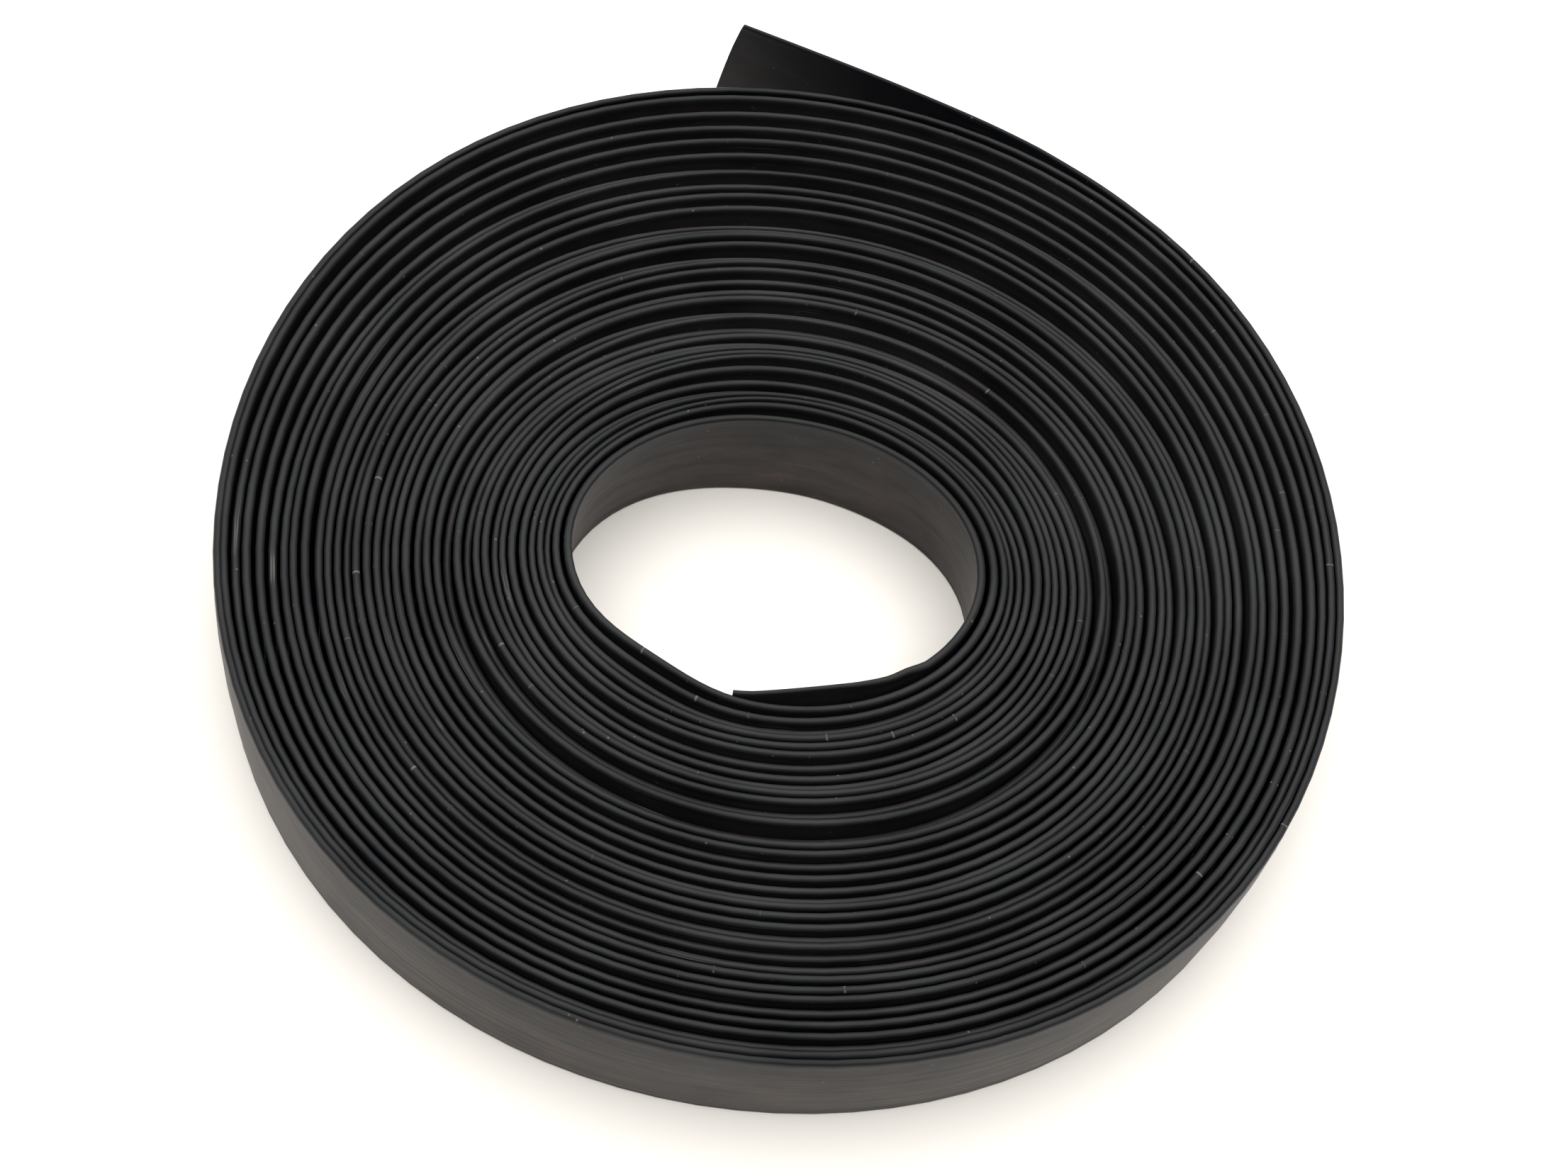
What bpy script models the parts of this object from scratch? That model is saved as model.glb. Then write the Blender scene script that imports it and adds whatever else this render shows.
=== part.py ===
# Soaker hose, as stored: one thin-walled lay-flat hose wound on edge into a flat spiral coil.
# Both ends are cut bare; the outer one stands off the coil as a tail, the inner one lies across the hole.
# The hose lies free, lap upon lap, so each lap of the coil is a solid of its own.
# Metres, +Z up, every strip standing on z = 0.
from math import cos, exp, floor, hypot, radians, sin, sqrt

import bmesh
import bpy
from mathutils import Vector

# The hose, pressed flat
HOSE_WIDTH = 0.025              # lay-flat width of a hose of 16 mm bore, and so the coil's height
HOSE_THICKNESS = 0.00055        # its two walls, a little under their real 0.7 mm
END_GAP = 0.0003                # between one lap's end and the next one's start

# The coil: angles in degrees, counter-clockwise from +X; the hose runs clockwise and inwards
COIL_POLE = (0.000385, -0.005985)
FIRST_ANGLE = 15.0              # where turn 0 begins
FIRST_TURN = -0.125             # the tail's root, an eighth of a turn before it
LAST_TURN = 36.147              # where the inner end bends away from the coil
TURNS = 36.3                    # turns over which the room is shared out
LAPS = 35
STATIONS = 36                   # straight facets in each turn, at the same angles in every lap
TIGHT_PITCH = 0.00085           # turn to turn where the walls lie on each other

OUTER_RADIUS = 0.09926          # middle of the outermost strip
OUTER_SHIFT = (-0.00078, 0.00050)
SQUARING = 0.00062              # the outline is very slightly square, its flats at SQUARING_ANGLE
SQUARING_ANGLE = 5.0
HOLE_CENTRE = (-0.0012, -0.00711)
HOLE_HALF_LENGTH = 0.0349
HOLE_HALF_WIDTH = 0.02727
HOLE_TILT = 8.2

# The innermost turns lie nearly straight for a stretch, which brings them towards the hole
FLAT_ANGLE = -119.0
FLAT_REACH = 13.0               # degrees to either side
FLAT_DEPTH = 0.0020             # on the innermost turn
FLAT_START = 31.5               # the turn from which it grows, and the turns that this takes
FLAT_GROWTH = 4.0

# How loosely each turn lies in the one outside it: 0 touching, 7 the widest gap, first at the back and
# then at the front of the coil
LOOSENESS_BACK = "3376556053560235013435021320044300141"
LOOSENESS_FRONT = "2223442344213332334323344133233222355"
LOOSENESS_TURN = 0.736          # part of a turn at which one digit gives way to the next
BACK_ANGLE = 97.3
BACK_REACH = 1.3                # how soon the back's pattern gives way to the front's

# The outer tail's middle line from the pole, after its hinge, and how far its cut end leans
TAIL_ROUTE = (
    (0.0426, 0.0901), (0.0347, 0.0933), (0.0267, 0.0961), (0.0185, 0.0985), (0.0103, 0.1005),
    (0.0019, 0.10235), (-0.0067, 0.1041), (-0.0156, 0.10575), (-0.0251, 0.10745), (-0.0323, 0.1087),
)
TAIL_LEAN = 0.0047              # the bottom edge runs this much further than the top edge

# The inner end's middle line from the pole, after its hinge
INNER_END_ROUTE = (
    (0.0244, -0.0238), (0.0215, -0.0262), (0.0171, -0.0285), (0.0135, -0.0300), (0.0099, -0.0314),
    (0.0045, -0.0334), (-0.0002, -0.03500), (-0.0034, -0.03565),
)

# Bands of laps that shift on each other as the coil is pushed out of flat: name, first and last lap
BANDS = (("outer_band", 1, 12), ("middle_band", 13, 24), ("core", 25, 35))
BAND_COLOURS = {
    "outer_band": (0.075, 0.068, 0.066),
    "middle_band": (0.048, 0.046, 0.046),
    "core": (0.060, 0.055, 0.052),
}
END_COLOUR = (0.016, 0.018, 0.024)
ROUGHNESS = 0.45


def outer_line(angle):
    # Distance from the pole to the coil's outline
    a = radians(angle)
    square = cos(4.0 * radians(angle - SQUARING_ANGLE))
    return OUTER_RADIUS + OUTER_SHIFT[0] * cos(a) + OUTER_SHIFT[1] * sin(a) - SQUARING * square


def hole_line(angle):
    # Distance from the pole to the hole's tilted oval, which is not centred on the pole
    tilt = radians(HOLE_TILT)
    a = radians(angle) - tilt
    across = cos(a) / HOLE_HALF_LENGTH
    along = sin(a) / HOLE_HALF_WIDTH
    x, y = HOLE_CENTRE
    off_across = (x * cos(tilt) + y * sin(tilt)) / HOLE_HALF_LENGTH
    off_along = (y * cos(tilt) - x * sin(tilt)) / HOLE_HALF_WIDTH
    square = across ** 2 + along ** 2
    cross = across * off_across + along * off_along
    return (cross + sqrt(cross ** 2 - square * (off_across ** 2 + off_along ** 2 - 1.0))) / square


def slack(turn, looseness):
    # Looseness added up from the outermost turn to this one
    passed = turn + 1.0 - LOOSENESS_TURN
    whole = int(min(max(floor(passed), 0), len(looseness) - 1))
    return sum(map(int, looseness[:whole])) + int(looseness[whole]) * (passed - whole)


def share(turn, looseness):
    # The part of the room between outline and hole that lies outside this turn
    start = slack(0.0, looseness)
    return (slack(turn, looseness) - start) / (slack(TURNS, looseness) - start)


def flat(turn, angle):
    # How much further in the innermost turns lie along their straight stretch
    away = (angle - FLAT_ANGLE + 180.0) % 360.0 - 180.0
    growth = min(max((turn - FLAT_START) / FLAT_GROWTH, 0.0), 1.0)
    return FLAT_DEPTH * growth * exp(-0.5 * (away / FLAT_REACH) ** 2)


def radius(turn):
    # Each turn lies one tight pitch inside the last, and the room left over is shared between them
    angle = FIRST_ANGLE - 360.0 * turn
    turn = max(turn, 0.0)
    back = (0.5 + 0.5 * cos(radians(angle - BACK_ANGLE))) ** BACK_REACH
    outside = back * share(turn, LOOSENESS_BACK) + (1.0 - back) * share(turn, LOOSENESS_FRONT)
    room = outer_line(angle) - hole_line(angle) - TIGHT_PITCH * TURNS
    return outer_line(angle) - TIGHT_PITCH * turn - outside * room - flat(turn, angle)


def station(index):
    turn = index / STATIONS
    a = radians(FIRST_ANGLE - 360.0 * turn)
    return Vector((cos(a), sin(a), 0.0)) * radius(turn)


def coil_point(turn):
    # A point on the straight facet between two stations, so that no lap's end leans on its neighbour
    index = floor(turn * STATIONS)
    return station(index).lerp(station(index + 1), turn * STATIONS - index)


def coil_route(start, end):
    # The lap's ends and every station between them
    inner = [i for i in range(floor(start * STATIONS) + 1, floor(end * STATIONS) + 1)]
    inner = [i for i in inner if start * STATIONS + 0.05 < i < end * STATIONS - 0.05]
    return [coil_point(start)] + [station(i) for i in inner] + [coil_point(end)]


def trimmed(route, start, end):
    # Shortens the first and last stretch, which leaves the gap between neighbouring pieces
    first = (route[1] - route[0]).normalized() * start
    last = (route[-2] - route[-1]).normalized() * end
    return [route[0] + first] + route[1:-1] + [route[-1] + last]


def plastic(name, colour):
    material = bpy.data.materials.new(name)
    material.use_nodes = True
    shader = material.node_tree.nodes["Principled BSDF"]
    shader.inputs["Base Color"].default_value = (*colour, 1.0)
    shader.inputs["Roughness"].default_value = ROUGHNESS
    shader.inputs["Metallic"].default_value = 0.0
    material.diffuse_color = (*colour, 1.0)
    return material


def empty(name, location, collection):
    holder = bpy.data.objects.new(name, None)
    holder.location = location
    holder.empty_display_size = 0.01
    collection.objects.link(holder)
    return holder


def strip(name, route, origin, holder, colour, collection, lean=0.0):
    # The flattened hose on edge: its middle line drawn on the ground, raised to the hose's width
    # and given its thickness. A lean carries the bottom of the far end further than the top.
    bm = bmesh.new()
    line = [bm.verts.new(point - origin) for point in route]
    edges = [bm.edges.new(pair) for pair in zip(line, line[1:])]
    raised = bmesh.ops.extrude_edge_only(bm, edges=edges)["geom"]
    top = [item for item in raised if isinstance(item, bmesh.types.BMVert)]
    bmesh.ops.translate(bm, verts=top, vec=(0.0, 0.0, HOSE_WIDTH))
    line[-1].co += (route[-1] - route[-2]).normalized() * lean
    mesh = bpy.data.meshes.new(name)
    bm.to_mesh(mesh)
    bm.free()
    mesh.shade_smooth()
    mesh.set_sharp_from_angle(angle=radians(30.0))
    mesh.materials.append(plastic(f"{name}_plastic", colour))
    piece = bpy.data.objects.new(name, mesh)
    collection.objects.link(piece)
    piece.parent = holder
    piece.location = origin - holder.location
    wall = piece.modifiers.new("Two walls", "SOLIDIFY")
    wall.thickness = HOSE_THICKNESS
    wall.offset = 0.0
    wall.use_even_offset = True
    return piece


def build():
    for old in list(bpy.data.objects):
        bpy.data.objects.remove(old, do_unlink=True)
    collection = bpy.data.collections.new("Soaker hose")
    bpy.context.scene.collection.children.link(collection)
    pole = Vector((*COIL_POLE, 0.0))
    turns_per_lap = (LAST_TURN - FIRST_TURN) / LAPS

    holders = {}
    for band, first, last in BANDS:
        holder = empty(band, pole, collection)
        holders[band] = holder
        for lap in range(first, last + 1):
            start = FIRST_TURN + (lap - 1) * turns_per_lap
            route = trimmed(coil_route(start, start + turns_per_lap), END_GAP / 2, END_GAP / 2)
            route = [pole + point for point in route]
            strip(f"lap_{lap:02d}", route, pole, holder, BAND_COLOURS[band], collection)

    # The tail hinges where it leaves the coil
    hinge = pole + coil_point(FIRST_TURN)
    route = [hinge] + [pole + Vector((*point, 0.0)) for point in TAIL_ROUTE]
    strip("outer_tail", trimmed(route, END_GAP / 2, 0.0), hinge, holders["outer_band"], END_COLOUR,
          collection, TAIL_LEAN)

    # The inner end hinges where it bends away from the last turn
    hinge = pole + coil_point(LAST_TURN)
    route = [hinge] + [pole + Vector((*point, 0.0)) for point in INNER_END_ROUTE]
    strip("inner_end", trimmed(route, END_GAP / 2, 0.0), hinge, holders["core"], END_COLOUR, collection)


build()
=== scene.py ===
import bpy
from math import ceil, cos, exp, floor, radians, sin, sqrt
from mathutils import Matrix, Vector, noise


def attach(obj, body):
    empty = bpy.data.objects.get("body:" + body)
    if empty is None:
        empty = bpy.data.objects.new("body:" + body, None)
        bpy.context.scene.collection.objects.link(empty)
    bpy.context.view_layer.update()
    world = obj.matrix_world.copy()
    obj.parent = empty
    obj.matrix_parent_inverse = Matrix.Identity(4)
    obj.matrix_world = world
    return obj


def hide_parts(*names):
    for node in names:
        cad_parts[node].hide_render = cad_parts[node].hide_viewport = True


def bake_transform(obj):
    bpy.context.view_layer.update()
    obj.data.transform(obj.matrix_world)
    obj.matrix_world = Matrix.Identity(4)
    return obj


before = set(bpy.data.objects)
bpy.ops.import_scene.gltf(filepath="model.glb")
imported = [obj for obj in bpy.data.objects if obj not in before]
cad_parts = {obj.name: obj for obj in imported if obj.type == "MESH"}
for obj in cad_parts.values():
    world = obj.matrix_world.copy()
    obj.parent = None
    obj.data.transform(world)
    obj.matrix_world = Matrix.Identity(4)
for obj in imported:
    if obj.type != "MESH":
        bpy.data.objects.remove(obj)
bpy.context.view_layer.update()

view = {
    "target": (0.001251, -0.005617, 0.0),  # the point on the floor that the lens looks at
    "distance": 0.42885,
    "elevation": 59.94,                    # degrees above the floor, from the front
    "roll": 13.33,                         # the camera is held a little askew
    "focalLength": 53.71,                  # mm
    "sensorWidth": 36.0,                   # mm
    "nearest": 0.01,
}


def makeCamera():
    lift = radians(view["elevation"])
    back = Vector((0.0, -cos(lift), sin(lift)))
    right = Vector((1.0, 0.0, 0.0))
    up = back.cross(right)
    turn = radians(view["roll"])
    across = right * cos(turn) + up * sin(turn)
    upright = up * cos(turn) - right * sin(turn)
    data = bpy.data.cameras.new("Camera")
    data.lens = view["focalLength"]
    data.sensor_width = view["sensorWidth"]
    data.clip_start = view["nearest"]
    camera = bpy.data.objects.new("Camera", data)
    place = Matrix.Translation(Vector(view["target"]) + back * view["distance"])
    camera.matrix_world = place @ Matrix((across, upright, back)).transposed().to_4x4()
    bpy.context.scene.collection.objects.link(camera)
    bpy.context.scene.camera = camera


makeCamera()
print("camera set")

coil = {
    "pole": (0.000385, -0.005985),   # radii and angles are counted from here
    "firstAngle": 15.0,              # degrees from +X, where turn 0 begins
    "firstTurn": -0.125,             # where the tail leaves the coil; turns run clockwise and inwards
    "lastTurn": 36.147,              # where the inner end leaves it
    "turns": 36.3,
    "laps": 35,
    "tightPitch": 0.00085,           # from turn to turn where they are pressed together
    "outerRadius": 0.09926,
    "outerShift": (-0.00078, 0.00050),
    "squaring": 0.00062,
    "squaringAngle": 5.0,
    "holeCentre": (-0.0012, -0.00711),
    "holeHalfLength": 0.0349,
    "holeHalfWidth": 0.02727,
    "holeTilt": 8.2,
    "loosenessBack": "3376556053560235013435021320044300141",    # a digit for each turn, the room beside it
    "loosenessFront": "2223442344213332334323344133233222355",   # against that of the others
    "loosenessTurn": 0.736,          # where on a turn its digit starts to count
    "backAngle": 97.3,
    "backReach": 1.3,
    "flatAngle": -119.0,             # the innermost turns lie nearly straight for a stretch here
    "flatReach": 13.0,
    "flatDepth": 0.0020,
    "flatStart": 31.5,
    "flatGrowth": 4.0,
}
bands = {"outer_band": (1, 12), "middle_band": (13, 24), "core": (25, 35)}
pole = Vector((*coil["pole"], 0.0))


def outerLine(angle):
    a = radians(angle)
    shift = coil["outerShift"]
    square = cos(4.0 * radians(angle - coil["squaringAngle"]))
    return coil["outerRadius"] + shift[0] * cos(a) + shift[1] * sin(a) - coil["squaring"] * square


def holeLine(angle):
    tilt = radians(coil["holeTilt"])
    a = radians(angle) - tilt
    across = cos(a) / coil["holeHalfLength"]
    along = sin(a) / coil["holeHalfWidth"]
    x, y = coil["holeCentre"]
    offAcross = (x * cos(tilt) + y * sin(tilt)) / coil["holeHalfLength"]
    offAlong = (y * cos(tilt) - x * sin(tilt)) / coil["holeHalfWidth"]
    square = across ** 2 + along ** 2
    cross = across * offAcross + along * offAlong
    return (cross + sqrt(cross ** 2 - square * (offAcross ** 2 + offAlong ** 2 - 1.0))) / square


def slack(turn, looseness):
    passed = turn + 1.0 - coil["loosenessTurn"]
    whole = int(min(max(floor(passed), 0), len(looseness) - 1))
    return sum(map(int, looseness[:whole])) + int(looseness[whole]) * (passed - whole)


def share(turn, looseness):
    start = slack(0.0, looseness)
    return (slack(turn, looseness) - start) / (slack(coil["turns"], looseness) - start)


def backness(angle):
    # 1 at the back of the coil, where the turns bunch, and 0 at the front
    return (0.5 + 0.5 * cos(radians(angle - coil["backAngle"]))) ** coil["backReach"]


def flat(turn, angle):
    away = (angle - coil["flatAngle"] + 180.0) % 360.0 - 180.0
    growth = min(max((turn - coil["flatStart"]) / coil["flatGrowth"], 0.0), 1.0)
    return coil["flatDepth"] * growth * exp(-0.5 * (away / coil["flatReach"]) ** 2)


def radius(turn):
    # the room between outline and hole is shared out by one pattern at the back and another in front
    angle = coil["firstAngle"] - 360.0 * turn
    turn = max(turn, 0.0)
    back = backness(angle)
    outside = back * share(turn, coil["loosenessBack"])
    outside += (1.0 - back) * share(turn, coil["loosenessFront"])
    room = outerLine(angle) - holeLine(angle) - coil["tightPitch"] * coil["turns"]
    return outerLine(angle) - coil["tightPitch"] * turn - outside * room - flat(turn, angle)


hose = {
    "width": 0.025,           # lying flat
    "thickness": 0.00068,     # two film walls of about 0.34 mm
    "foldTight": 0.00082,     # thickness of the creased edge where the turns lie close
    "foldEnds": 0.00112,      # and where there is room for it to spring open, at the back and in front
    "foldSides": 0.00150,     # and at the sides
    "foldShare": 0.65,        # part of the room between turns that it takes up
    "foldDepth": 2.4,         # how far the fold reaches along the wall, in times its thickness
    "foldLimit": 0.22,        # and in parts of the width at most
    "foldSteps": (0, 18, 36, 54, 72, 90),         # degrees round the fold
    "wallSteps": (0.25, 0.5, 0.75, 1.0),          # from the fold to the flat wall
    "flatHeights": (0.24, 0.36, 0.5),             # parts of the width, on the flat wall
    "cutCurve": 0.75,         # a leaning cut is curved a little: 1 would be straight
    "sharpFrom": 50.0,        # degrees between faces, for the cut ends' rims
    "footGap": 0.00004,       # the lower folds spread until they almost touch: no light comes through
    "footWidest": 0.0013,     # but by no more than this to either side
    "stationsPerTurn": 96,
    "closeStation": 0.0005,   # turns
    "openRoom": 0.002,        # beside the outermost and innermost turn
    "wander": 0.25,           # share of the free gap that a turn strays by
    "wanderRate": 3.1,        # and how often it does, for each turn
    "wanderFades": (4.0, 2.0),                    # per turn, at the outer and the inner end
    "waves": 0.0009,          # how much the top edges rise and fall along the turns
    "waveRates": (1.7, 6.3),  # for each turn, of the long and the short waves
    "shortWaves": 0.4,        # height of the short waves against the long ones
    "lowBack": "0000003030066003037604096800004400020",   # how low each turn lies among its neighbours
    "lowFront": "0030030006504000654400906005540004000",
    "lowBackFrom": 0.271,     # a digit for the back holds from one pass of the front to the next
    "lowFrontFrom": -0.229,   # and the other way round
    "backStep": 0.00026,      # what each step means
    "frontStep": 0.00040,
    "bow": 0.0004,            # the outermost turn bellies outwards
    "lip": 0.0005,            # and its top edge curls towards the coil
    "lipDepth": 0.0055,
    "bowEnds": 1.6,           # turns from the outer end, where both have died out
    "bowFade": 0.6,
    "splay": 0.0020,          # the innermost turns stand wider at the floor, at the hole's left and right
    "splayTurns": 7.0,
    "splayFull": 0.5,         # turns before the inner end, where it is at its full width
}


def turnRadius(turn):
    # every turn strays a little within the room that it has
    if turn <= 0.0 or turn >= coil["lastTurn"] - 1.0:
        return radius(turn)
    here = radius(turn)
    gap = min(radius(turn - 1.0) - here, here - radius(turn + 1.0)) - coil["tightPitch"]
    outerFade, innerFade = hose["wanderFades"]
    fade = min(1.0, turn * outerFade, (coil["lastTurn"] - 1.0 - turn) * innerFade)
    stray = noise.noise(Vector((turn * hose["wanderRate"], 0.0, 4.7)))
    return here + stray * hose["wander"] * max(gap, 0.0) * fade


def roomAround(turn):
    # the smaller of the gaps to the turns outside and inside, beyond a tight pitch
    outside = inside = hose["openRoom"]
    if turn >= 1.0:
        outside = radius(turn - 1.0) - radius(turn)
    if turn < coil["lastTurn"] - 1.0:
        inside = radius(turn) - radius(turn + 1.0)
    return max(min(outside, inside) - coil["tightPitch"], 0.0)


def foldAt(turn):
    # the creased edge springs open into the room that it has
    side = cos(radians(coil["firstAngle"] - 360.0 * turn)) ** 2
    free = side * hose["foldSides"] + (1.0 - side) * hose["foldEnds"]
    return min(free, hose["foldTight"] + hose["foldShare"] * roomAround(turn))


def outermost(turn):
    # 1 on the outermost turn, fading to 0 on the next
    return min(max((hose["bowEnds"] - turn) / hose["bowFade"], 0.0), 1.0)


def splayAt(turn):
    a = radians(coil["firstAngle"] - 360.0 * turn)
    passed = max(turn - coil["lastTurn"] + hose["splayTurns"], 0.0)
    growth = passed / (hose["splayTurns"] - hose["splayFull"])
    return hose["splay"] * min(growth, 1.0) * cos(a) ** 4


def footAt(turn):
    # how far the lower fold spreads towards the turn outside and the turn inside
    here = turnRadius(turn) + splayAt(turn)
    outside = inside = 0.0
    if turn >= 1.0 + coil["firstTurn"]:
        outside = turnRadius(turn - 1.0) + splayAt(turn - 1.0) - here
    if turn < coil["lastTurn"] - 1.0:
        inside = here - turnRadius(turn + 1.0) - splayAt(turn + 1.0)
    least = hose["foldTight"] / 2
    most = hose["footWidest"]
    return tuple(min(max(gap / 2 - hose["footGap"], least), most) for gap in (outside, inside))


def turnPoint(turn):
    a = radians(coil["firstAngle"] - 360.0 * turn)
    return pole + Vector((cos(a), sin(a), 0.0)) * turnRadius(turn)


def coilStations(start, end):
    # even stations, with one more just inside each end so that neighbouring laps meet smoothly
    count = hose["stationsPerTurn"]
    close = hose["closeStation"]
    inner = [i / count for i in range(ceil(start * count), floor(end * count) + 1)]
    inner = [turn for turn in inner if start + 3 * close < turn < end - 3 * close]
    return [start, start + close] + inner + [end - close, end]


def smoothRoute(before, points, step):
    # a curve through the points (Catmull-Rom), coming from the point before, with a station every step
    points = [Vector((*p[:2], 0.0)) for p in points]
    padded = [before] + points + [points[-1] * 2 - points[-2]]
    route = [points[0]]
    for a, b, c, d in zip(padded, padded[1:], padded[2:], padded[3:]):
        parts = max(1, round((c - b).length / step))
        for i in range(1, parts + 1):
            t = i / parts
            route.append(0.5 * ((2 * b) + (c - a) * t + (2 * a - 5 * b + 4 * c - d) * t ** 2
                                + (3 * b - a - 3 * c + d) * t ** 3))
    return route


def sideSection(fold, foot):
    # one side of the strip, from the top fold down to the bottom fold: distance from the middle plane,
    # and height as a part of the width
    half = hose["thickness"] / 2
    low, high, middle = hose["flatHeights"]
    side = []
    for spread in (fold, foot):
        depth = min(2.0 * hose["foldDepth"] * spread / hose["width"], hose["foldLimit"])
        roundness = spread / hose["width"]
        edge = []
        for step in hose["foldSteps"]:
            a = radians(step)
            edge.append((spread * sin(a), roundness * (1.0 - cos(a))))
        for x in hose["wallSteps"]:
            eased = 1.0 - x * x * (3.0 - 2.0 * x)
            edge.append((half + (spread - half) * eased, roundness + (depth - roundness) * x))
        edge += [(half, low), (half, high)]
        side.append(edge)
    top, bottom = side
    return [(n, 1.0 - h) for n, h in top] + [(half, middle)] + list(reversed(bottom))


def stripMesh(name, line, shapes, outwards=1.0, lean=0.0, leanLength=0.0):
    # the shape at each station: the upper edge's height, the upper fold's thickness, how far the lower
    # fold spreads outwards and inwards, and then bow, lip and splay
    # outwards is 1 for a line that runs clockwise and -1 for the other way, and lean tilts the far cut
    lengths = [0.0]
    for a, b in zip(line, line[1:]):
        lengths.append(lengths[-1] + (b - a).length)
    verts = []
    marks = []
    rings = []
    for i, point in enumerate(line):
        height, fold, footOut, footIn, bow, lip, splay = shapes[i]
        ahead = (line[min(i + 1, len(line) - 1)] - line[max(i - 1, 0)]).normalized()
        out = Vector((-ahead.y, ahead.x, 0.0)) * outwards
        section = sideSection(fold / 2, footOut)
        section += [(-n, h) for n, h in reversed(sideSection(fold / 2, footIn)[1:-1])]
        toEnd = lengths[-1] - lengths[i]
        shear = lean * max(0.0, 1.0 - toEnd / leanLength) ** 2 if lean else 0.0
        ring = []
        for n, h in section:
            z = h * height
            n += bow * (1.0 - (2.0 * h - 1.0) ** 2) + splay * (1.0 - h)
            n -= lip * max(0.0, 1.0 - (height - z) / hose["lipDepth"]) ** 2
            ring.append(len(verts))
            slant = (1.0 - h) ** hose["cutCurve"]
            verts.append(point + out * n + ahead * shear * slant + Vector((0.0, 0.0, z)))
            marks.append((lengths[i], z))
        rings.append(ring)
    faces = []
    for a, b in zip(rings, rings[1:]):
        for k in range(len(a)):
            m = (k + 1) % len(a)
            faces.append((a[k], b[k], b[m], a[m]))
    faces.append(tuple(rings[0]))
    faces.append(tuple(reversed(rings[-1])))
    mesh = bpy.data.meshes.new(name)
    mesh.from_pydata(verts, [], faces)
    layer = mesh.uv_layers.new(name="AlongAndUp")
    for loop in mesh.loops:
        layer.data[loop.index].uv = marks[loop.vertex_index]
    mesh.shade_smooth()
    mesh.set_sharp_from_angle(angle=radians(hose["sharpFrom"]))
    piece = bpy.data.objects.new(name, mesh)
    bpy.context.scene.collection.objects.link(piece)
    return piece


def topEdge(turn):
    # the upper folds aren't level: some turns lie low, at the back, in front or all round
    longRate, shortRate = hose["waveRates"]
    wave = noise.noise(Vector((turn * longRate, 9.1, 0.0)))
    wave += hose["shortWaves"] * noise.noise(Vector((turn * shortRate, 2.2, 0.0)))
    back = backness(coil["firstAngle"] - 360.0 * turn)
    last = len(hose["lowBack"]) - 1
    backDigit = hose["lowBack"][min(max(floor(turn - hose["lowBackFrom"]), 0), last)]
    frontDigit = hose["lowFront"][min(max(floor(turn - hose["lowFrontFrom"]), 0), last)]
    low = hose["backStep"] * back * int(backDigit)
    low += hose["frontStep"] * (1.0 - back) * int(frontDigit)
    return hose["width"] - hose["waves"] * (0.5 - 0.5 * wave) - low


def shapeAt(turn):
    outer = outermost(turn)
    bow = hose["bow"] * outer
    lip = hose["lip"] * outer
    return (topEdge(turn), foldAt(turn), *footAt(turn), bow, lip, splayAt(turn))


def shapeBetween(a, b, share):
    return tuple(x + (y - x) * share for x, y in zip(a, b))


def lineLength(line):
    return sum((b - a).length for a, b in zip(line, line[1:]))


outerTail = {
    "route": (            # from the pole, starting at the hinge
        (0.0426, 0.0901), (0.0347, 0.0933), (0.0267, 0.0961), (0.0185, 0.0985), (0.0103, 0.1005),
        (0.0019, 0.10235), (-0.0067, 0.1041), (-0.0156, 0.10575), (-0.0251, 0.10745), (-0.0323, 0.1087),
    ),
    "step": 0.003,
    "comesFrom": 0.012,   # turns before the hinge, for the direction it starts in
    "settles": 8,         # steps over which the turn's section becomes the free end's
    "cutLean": 0.0047,    # how far the cut leans
    "cutReach": 0.03,     # and how far back from it the walls follow
}
innerEnd = {
    "route": (
        (0.0244, -0.0238), (0.0215, -0.0262), (0.0171, -0.0285), (0.0135, -0.0300), (0.0099, -0.0314),
        (0.0045, -0.0334), (-0.0002, -0.03500), (-0.0034, -0.03565),
    ),
    "step": 0.0015,
    "comesFrom": 0.016,
    "settles": 12,
    "lead": 0.02,         # turns of the coil that belong to the inner end's piece, for its bend
}
pieces = []
hoseLength = 0.0


def layLap(name, start, end):
    turns = coilStations(start, end)
    line = [turnPoint(turn) for turn in turns]
    piece = stripMesh(name, line, [shapeAt(turn) for turn in turns])
    middle = [(p.x, p.y, hose["width"] / 2) for p in line]
    return piece, line, middle


turnsPerLap = (coil["lastTurn"] - coil["firstTurn"]) / coil["laps"]
for band, (first, last) in bands.items():
    for lap in range(first, last + 1):
        start = coil["firstTurn"] + (lap - 1) * turnsPerLap
        end = start + turnsPerLap
        node = f"lap_{lap:02d}"
        spans = [(node + "_hose", start, end)]
        if lap == coil["laps"]:
            spans = [(node + "_hose", start, end - innerEnd["lead"])]
        if lap == 1:
            spans = [(node + "_hose", 0.0, end)]  # the tail's piece takes its first eighth of a turn
        ramp = lap == first and lap > 1
        if ramp:
            spans = [(node + "_ramp", start, start + 0.5), (node + "_hose", start + 0.5, end)]
        for name, a, b in spans:
            piece, line, middle = layLap(name, a, b)
            if name.endswith("_ramp"):
                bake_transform(piece)
            else:
                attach(piece, band)
            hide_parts(node)
            pieces.append(piece)
            length = lineLength(line)
            hoseLength += length
            if lap == coil["laps"]:
                lastLap = (piece, line, middle, length)
                continue
print("coil laid:", len(pieces), "pieces,", round(hoseLength, 2), "m")


def bendAt(piece, hinge, ahead):
    ahead = (ahead - hinge).normalized()
    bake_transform(piece)


def freeShape():
    # a free end has nothing beside it: full height, and both folds tight
    tight = hose["foldTight"]
    return (hose["width"], tight, tight / 2, tight / 2, 0.0, 0.0, 0.0)


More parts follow.
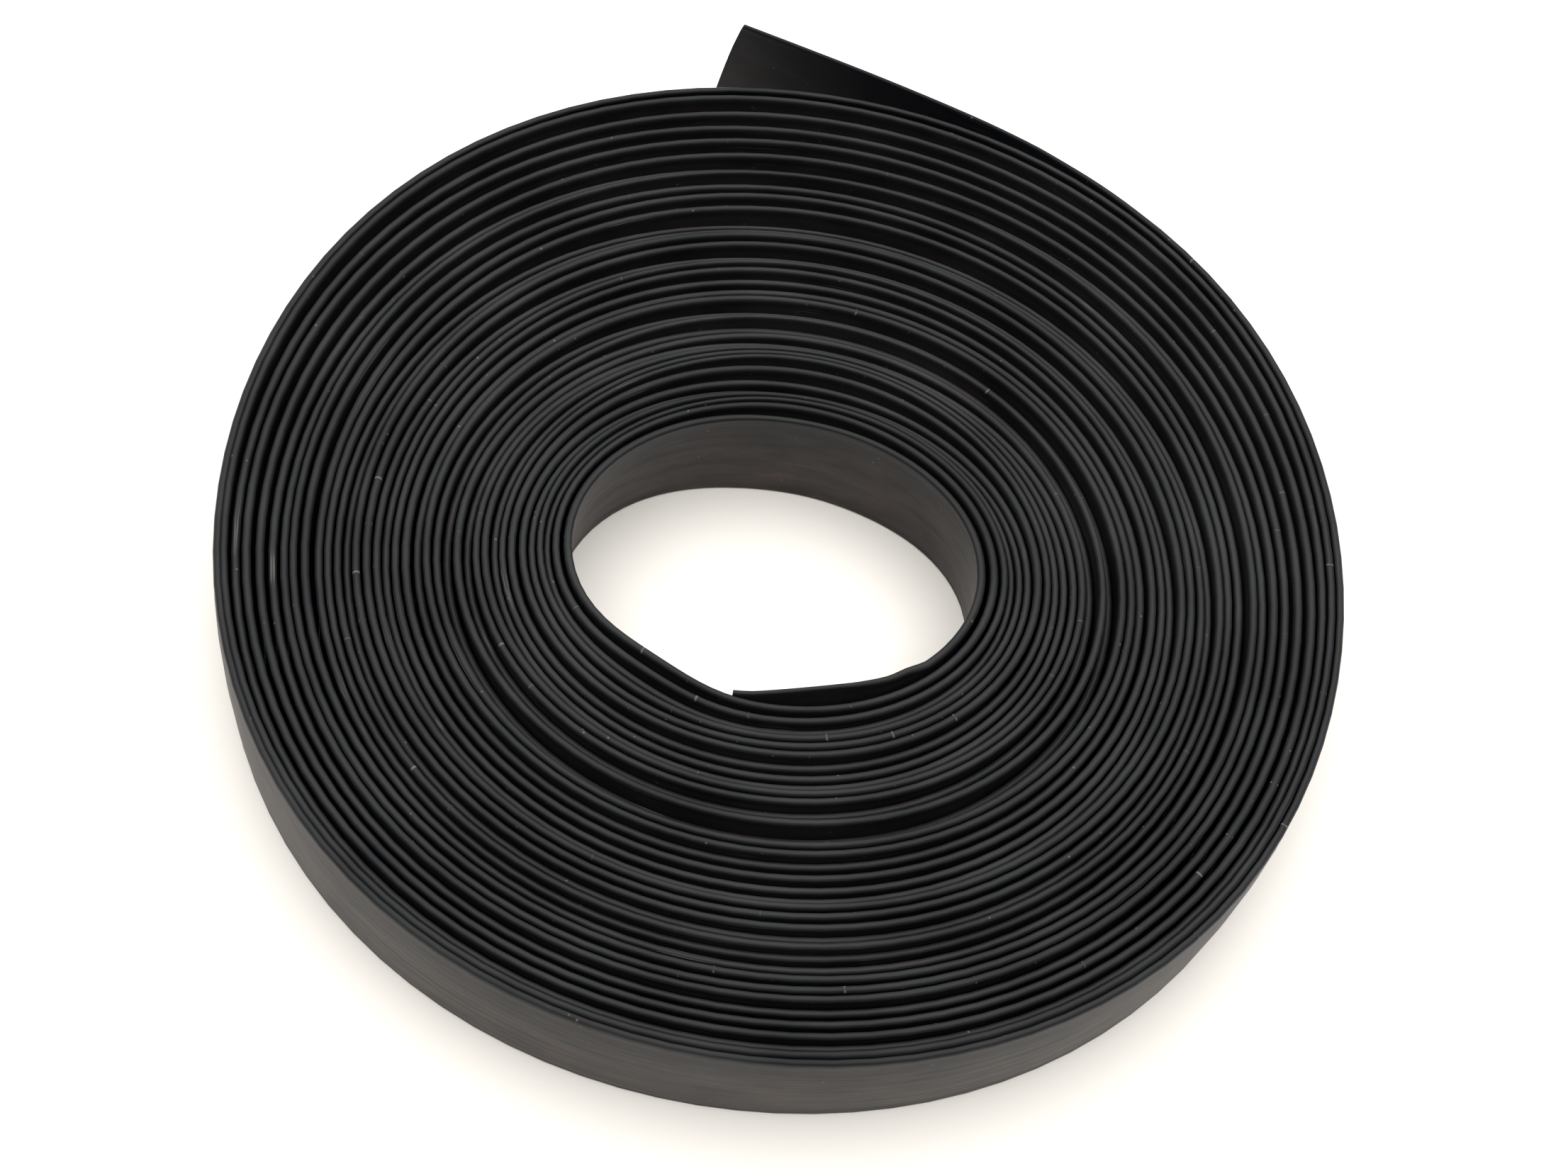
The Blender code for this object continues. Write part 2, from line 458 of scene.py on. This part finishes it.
def layTail():
    coiled = [-turn for turn in coilStations(0.0, -coil["firstTurn"])]
    line = [turnPoint(turn) for turn in coiled]
    route = [line[-1]] + [pole + Vector((*p, 0.0)) for p in outerTail["route"]]
    free = smoothRoute(turnPoint(coil["firstTurn"] + outerTail["comesFrom"]), route, outerTail["step"])
    whole = line + free[1:]
    start = shapeAt(coiled[-1])
    shapes = [shapeAt(turn) for turn in coiled]
    for i in range(1, len(free)):
        shapes.append(shapeBetween(start, freeShape(), min(i / outerTail["settles"], 1.0)))
    piece = stripMesh("outer_tail_hose", whole, shapes, -1.0, outerTail["cutLean"], outerTail["cutReach"])
    bendAt(piece, free[0], free[3])
    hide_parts("outer_tail")
    return piece, lineLength(whole)


def layInnerEnd():
    last = coil["lastTurn"]
    coiled = [last - innerEnd["lead"] * part for part in (1.0, 0.75, 0.5, 0.25)]
    route = [turnPoint(last)] + [pole + Vector((*p, 0.0)) for p in innerEnd["route"]]
    free = smoothRoute(turnPoint(last - innerEnd["comesFrom"]), route, innerEnd["step"])
    line = [turnPoint(turn) for turn in coiled] + free
    start = shapeAt(last)
    shapes = [shapeAt(turn) for turn in coiled]
    for i in range(len(free)):
        shapes.append(shapeBetween(start, freeShape(), min(i / innerEnd["settles"], 1.0)))
    piece = stripMesh("inner_end_hose", line, shapes)
    bendAt(piece, free[0], free[3])
    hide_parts("inner_end")
    return piece, lineLength(line)


tailPiece, tailLength = layTail()
innerPiece, innerLength = layInnerEnd()
piece, line, middle, length = lastLap
hoseLength += tailLength + innerLength
pieces += [tailPiece, innerPiece]
print("ends laid, hose length", round(hoseLength, 2), "m")


def linear(hexColour):
    parts = [int(hexColour[i:i + 2], 16) / 255 for i in (1, 3, 5)]
    return tuple(p / 12.92 if p <= 0.04045 else ((p + 0.055) / 1.055) ** 2.4 for p in parts) + (1.0,)


def addNode(tree, kind, settings=None, inputs=None):
    node = tree.nodes.new(kind)
    for key, value in (settings or {}).items():
        setattr(node, key, value)
    for key, value in (inputs or {}).items():
        if isinstance(value, bpy.types.NodeSocket):
            tree.links.new(value, node.inputs[key])
        else:
            node.inputs[key].default_value = value
    return node


film = {
    "dark": "#19191b",
    "light": "#252526",
    # the dust colour: as a veil on the walls it also paints their warm reflection; the single grains are
    # dust
    "dustAndReflection": "#96786a",
    "whitened": "#a3a29f",
    "dustAndReflectionVeil": 0.13,
    "grainStrength": 0.35,
    "nickStrength": 0.3,
    "scratchStrength": 0.25,
    "roughness": (0.38, 0.52),
    "ior": 1.51,
    "specular": 0.155,
    "dentDepth": 0.0006,          # metres
    "dentStrength": 0.35,
    "lineDepth": 0.00003,
    "lineStrength": 0.15,
    "dustAndReflectionThins": (0.0245, 0.012),    # metres up, between which the dust and its painted warm reflection set in from the fold down
    "dustAndReflectionLeft": 0.1,                 # part of it that stays on the upper fold
    "creaseHeights": (0.0236, 0.0245),
    "grainSpacing": 2.381,           # mm
    "drawnOut": {                    # mm along the hose, mm up its width, finer detail
        "veil": (11.111, 3.846, 5.0),
        "nicks": (1.0526, 2.5, 1.0),
        "scratches": (33.333, 0.2381, 1.0),   # coarser than the real hairlines, or they wouldn't show
        "dieLines": (83.333, 0.5556, 2.0),
        "dents": (14.286, 9.091, 2.0),
    },
    "even": {                        # mm across, finer detail
        "patches": (22.222, 4.0),
        "grainPlaces": (3.846, 1.0),
        "scratchPlaces": (14.286, 1.0),
    },
    "setsIn": {                      # where each pattern goes from nothing to all of it
        "veil": (0.3, 0.75),
        "nicks": (0.74, 0.79),
        "scratches": (0.68, 0.74),
        "patches": (0.35, 0.65),
        "grains": (0.11, 0.06),
        "grainPlaces": (0.58, 0.62),
        "scratchPlaces": (0.55, 0.65),
    },
    "linesFrom": 0.3,                # the die's lines also turn the film rougher and smoother
    "linesTo": 0.7,
}
# painted shade for the tail: its free end is painted blacker and bluer than the rest of the same film
paintedTailShade = {
    "dark": "#0f1014",
    "light": "#16171c",
    "dustAndReflectionVeil": 0.03,
    "specular": 0.14,
    "from": 0.05,         # metres from the tail's start at which it sets in
    "to": 0.10,
}


def extrudedPolyethyleneFilm(name, paintedShade=None):
    # carbon-black polyethylene, extruded as a thin tube: satin, with faint lines along its length
    material = bpy.data.materials.new(name)
    material.use_nodes = True
    tree = material.node_tree
    tree.nodes.clear()
    where = addNode(tree, "ShaderNodeTexCoord")
    uv = where.outputs["UV"]
    place = where.outputs["Object"]
    along, up = addNode(tree, "ShaderNodeSeparateXYZ", {}, {0: uv}).outputs[:2]

    # patterns drawn out along the hose, others that are alike in every direction, and cells for the grains
    patterns = {}
    for pattern, (alongSize, upSize, detail) in film["drawnOut"].items():
        scaled = addNode(tree, "ShaderNodeMapping", {}, {
            "Vector": uv, "Scale": (1000.0 / alongSize, 1000.0 / upSize, 1.0)})
        patterns[pattern] = addNode(tree, "ShaderNodeTexNoise", {}, {
            "Vector": scaled.outputs[0], "Scale": 1.0, "Detail": detail}).outputs[0]
    for pattern, (size, detail) in film["even"].items():
        patterns[pattern] = addNode(tree, "ShaderNodeTexNoise", {}, {
            "Vector": place, "Scale": 1000.0 / size, "Detail": detail}).outputs[0]
    patterns["grains"] = addNode(tree, "ShaderNodeTexVoronoi", {}, {
        "Vector": place, "Scale": 1000.0 / film["grainSpacing"]}).outputs[0]
    masks = {}
    for pattern, (start, end) in film["setsIn"].items():
        masks[pattern] = addNode(tree, "ShaderNodeMapRange", {}, {
            "Value": patterns[pattern], "From Min": start, "From Max": end}).outputs[0]
    thins, full = film["dustAndReflectionThins"]
    masks["lowDown"] = addNode(tree, "ShaderNodeMapRange", {}, {
        "Value": up, "From Min": thins, "From Max": full, "To Min": film["dustAndReflectionLeft"]}).outputs[0]
    below, above = film["creaseHeights"]
    masks["crease"] = addNode(tree, "ShaderNodeMapRange", {}, {
        "Value": up, "From Min": below, "From Max": above}).outputs[0]

    # patches a few centimetres across, where the black is a little deeper or greyer
    tone = addNode(tree, "ShaderNodeMix", {"data_type": "RGBA"}, {
        "Factor": masks["patches"], "A": linear(film["dark"]), "B": linear(film["light"])})
    tone = tone.outputs["Result"]
    dustAndReflectionVeil = film["dustAndReflectionVeil"]
    specular = film["specular"]
    if paintedShade:
        # painted shade: towards its cut end the hose is painted blacker and bluer, with less of the dust
        # veil and its painted warm reflection
        shadedPart = addNode(tree, "ShaderNodeMapRange", {}, {
            "Value": along, "From Min": paintedShade["from"], "From Max": paintedShade["to"]}).outputs[0]
        shadedTone = addNode(tree, "ShaderNodeMix", {"data_type": "RGBA"}, {
            "Factor": masks["patches"], "A": linear(paintedShade["dark"]), "B": linear(paintedShade["light"])})
        tone = addNode(tree, "ShaderNodeMix", {"data_type": "RGBA"}, {
            "Factor": shadedPart, "A": tone, "B": shadedTone.outputs["Result"]}).outputs["Result"]
        dustAndReflectionVeil = addNode(tree, "ShaderNodeMapRange", {}, {
            "Value": along, "From Min": paintedShade["from"], "From Max": paintedShade["to"],
            "To Min": dustAndReflectionVeil, "To Max": paintedShade["dustAndReflectionVeil"]}).outputs[0]
        specular = paintedShade["specular"]  # one number all over, so that the exported model keeps it

    # over the black: a veil of dust that also paints the walls' warm reflection, thinning on the upper
    # folds, single grains up to half a millimetre across, creases whitened where they were bent hard or
    # rubbed, and hairline scratches along the walls
    layers = (
        ("veil", "lowDown", dustAndReflectionVeil, film["dustAndReflection"]),
        ("grains", "grainPlaces", film["grainStrength"], film["dustAndReflection"]),
        ("nicks", "crease", film["nickStrength"], film["whitened"]),
        ("scratches", "scratchPlaces", film["scratchStrength"], film["whitened"]),
    )
    for pattern, places, strength, colour in layers:
        both = addNode(tree, "ShaderNodeMath", {"operation": "MULTIPLY"}, {
            0: masks[pattern], 1: masks[places]})
        factor = addNode(tree, "ShaderNodeMath", {"operation": "MULTIPLY"}, {
            0: both.outputs[0], 1: strength})
        tone = addNode(tree, "ShaderNodeMix", {"data_type": "RGBA"}, {
            "Factor": factor.outputs[0], "A": tone, "B": linear(colour)}).outputs["Result"]

    # the die's lines, about half a millimetre apart, and soft dents a centimetre long
    smooth, rough = film["roughness"]
    roughness = addNode(tree, "ShaderNodeMapRange", {}, {
        "Value": patterns["dieLines"], "From Min": film["linesFrom"], "From Max": film["linesTo"],
        "To Min": smooth, "To Max": rough}).outputs[0]
    dents = addNode(tree, "ShaderNodeBump", {}, {
        "Height": patterns["dents"], "Strength": film["dentStrength"], "Distance": film["dentDepth"]})
    lines = addNode(tree, "ShaderNodeBump", {}, {
        "Height": patterns["dieLines"], "Strength": film["lineStrength"], "Distance": film["lineDepth"],
        "Normal": dents.outputs[0]})
    shader = addNode(tree, "ShaderNodeBsdfPrincipled", {}, {
        "Base Color": tone, "Roughness": roughness, "IOR": film["ior"], "Specular IOR Level": specular,
        "Normal": lines.outputs[0]})
    addNode(tree, "ShaderNodeOutputMaterial", {}, {"Surface": shader.outputs[0]})
    return material


# all pieces but the tail: the veil of dust also paints the walls' warm reflection
filmWithDustAndReflection = extrudedPolyethyleneFilm("extruded black polyethylene film, handled and dusty")
# the tail's film: painted shade, blacker and bluer towards its cut end
tailFilm = extrudedPolyethyleneFilm(
    "extruded black polyethylene film, cleaner towards its cut end", paintedTailShade)
for piece in pieces:
    piece.data.materials.append(tailFilm if piece == tailPiece else filmWithDustAndReflection)
print("materials made")

studio = {
    "floor": "#fbf2ec",
    "floorSize": 6.0,
    "floorHeight": -0.0001,   # just below the hose
    "floorRoughness": 0.8,
    "softboxSize": 3.0,
    "softboxPlace": (-0.1, 0.25, 1.3),
    "softboxWatts": 76.0,
    "softboxTint": "#f7fcfa",
    "world": "#ffffff",
    "worldStrength": 0.2,
}


def makeStudio():
    # matt paper, rolled out flat: it only has to catch the soft shadow
    bpy.ops.mesh.primitive_plane_add(size=studio["floorSize"], location=(0.0, 0.0, studio["floorHeight"]))
    floor = bpy.context.object
    floor.name = "floor"
    material = bpy.data.materials.new("matt white paper sweep")
    material.use_nodes = True
    shader = material.node_tree.nodes["Principled BSDF"]
    shader.inputs["Base Color"].default_value = linear(studio["floor"])
    shader.inputs["Roughness"].default_value = studio["floorRoughness"]
    floor.data.materials.append(material)
    data = bpy.data.lights.new("softbox", "AREA")
    data.shape = "SQUARE"
    data.size = studio["softboxSize"]
    data.energy = studio["softboxWatts"]
    data.color = linear(studio["softboxTint"])[:3]
    lamp = bpy.data.objects.new("softbox", data)
    lamp.location = studio["softboxPlace"]
    lamp.rotation_euler = (-Vector(studio["softboxPlace"])).to_track_quat("-Z", "Y").to_euler()
    bpy.context.scene.collection.objects.link(lamp)
    world = bpy.data.worlds.new("studio")
    world.use_nodes = True
    background = world.node_tree.nodes["Background"]
    background.inputs["Color"].default_value = linear(studio["world"])
    background.inputs["Strength"].default_value = studio["worldStrength"]
    bpy.context.scene.world = world
    bpy.context.scene.view_settings.view_transform = "Standard"


makeStudio()
print("studio made")
